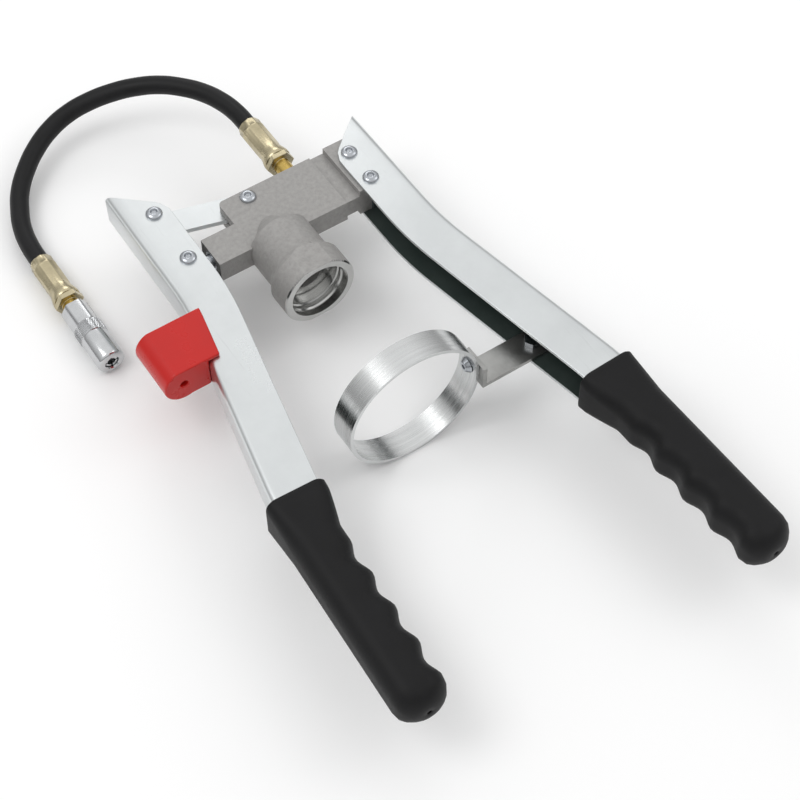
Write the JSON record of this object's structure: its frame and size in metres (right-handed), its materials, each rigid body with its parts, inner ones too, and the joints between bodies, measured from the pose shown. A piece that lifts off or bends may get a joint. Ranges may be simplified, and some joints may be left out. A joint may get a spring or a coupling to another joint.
{
  "type": "grease gun",
  "caption": "Hand grease gun with two channel levers, cast pump head for a screw-in cartridge, cartridge ring, hose with coupler and a plastic hose holder.",
  "frame": {"origin": "centre of the cartridge mouth's rim on the pump head", "axes": "+Y from the mouth towards the hose port, along the mouth's axis; +X along the pump bore towards the fixed lever; +Z square to the plane in which the levers move"},
  "size_m": [0.2281, 0.475, 0.0796],
  "materials": {
    "casting": "bead-blasted casting",
    "steel": "zinc-plated",
    "seal_rubber": "matt",
    "zinc_sheet": "bright zinc-plated sheet",
    "grip_rubber": "matt",
    "red_plastic": "glossy moulding",
    "ring_steel": "brushed",
    "bracket_steel": "grey, brushed",
    "yellow_zinc": "yellow passivated zinc",
    "hose_rubber": "matt",
    "bright_plate": "bright plated",
    "dark_steel": "hardened, dark"
  },
  "bodies": {
    "head": {"pump_head": "casting", "piston_seal": "seal_rubber", "seal_retainer": "steel", "link_pivot_rivet": "steel", "fixed_lever": "zinc_sheet", "fixed_grip": "grip_rubber", "head_rivets": "steel", "retaining_ring": "ring_steel", "ring_bracket": "bracket_steel", "ring_screw": "steel", "bracket_bolt": "steel", "bracket_nut": "steel", "check_spring": "steel", "hose_fitting_head": "yellow_zinc", "hose_ferrule_head": "yellow_zinc", "hose": "hose_rubber", "hose_ferrule_end": "yellow_zinc", "hose_fitting_end": "yellow_zinc", "coupler_body": "bright_plate", "coupler_sleeve": "bright_plate", "coupler_spring": "steel"},
    "piston": {"piston": "steel"},
    "drive_lever": {"drive_lever": "zinc_sheet", "drive_grip": "grip_rubber", "link_rivet": "steel", "piston_rivet": "steel", "link_bushes": "steel", "piston_bushes": "steel", "hose_clip": "red_plastic"},
    "link": {"link_plate": "zinc_sheet"},
    "check_ball": {"check_ball": "steel"},
    "coupler_jaws": {"coupler_jaws": "dark_steel", "coupler_seal": "seal_rubber"}
  },
  "joints": [
    {"name": "piston_stroke", "type": "slide", "parent": "head", "child": "piston", "axis": [1, 0, 0], "range_m": [-0.0185, 0.0053]},
    {"name": "handle", "type": "hinge", "parent": "piston", "child": "drive_lever", "pos_m": [-0.0512, 0.0508, 0], "axis": [0, 0, 1], "range_deg": [-28, 8]},
    {"name": "link_swing", "type": "hinge", "parent": "head", "child": "link", "pos_m": [-0.0007, 0.0735, 0], "axis": [0, 0, 1], "range_deg": [-1.2, 3.6]},
    {"name": "outlet_valve", "type": "slide", "parent": "head", "child": "check_ball", "axis": [0, 1, 0], "range_m": [0, 0.0012], "stiffness_N_per_m": 120, "deforming": ["check_spring"]},
    {"name": "coupler_jaw_slide", "type": "slide", "parent": "head", "child": "coupler_jaws", "axis": [0, 1, 0], "range_m": [0, 0.0015], "stiffness_N_per_m": 400, "deforming": ["coupler_spring"]}
  ],
  "couplings": [
    {"joint": "piston_stroke", "follows": "handle", "m_per_rad": 0.0372},
    {"joint": "link_swing", "follows": "handle", "ratio": -0.12}
  ]
}
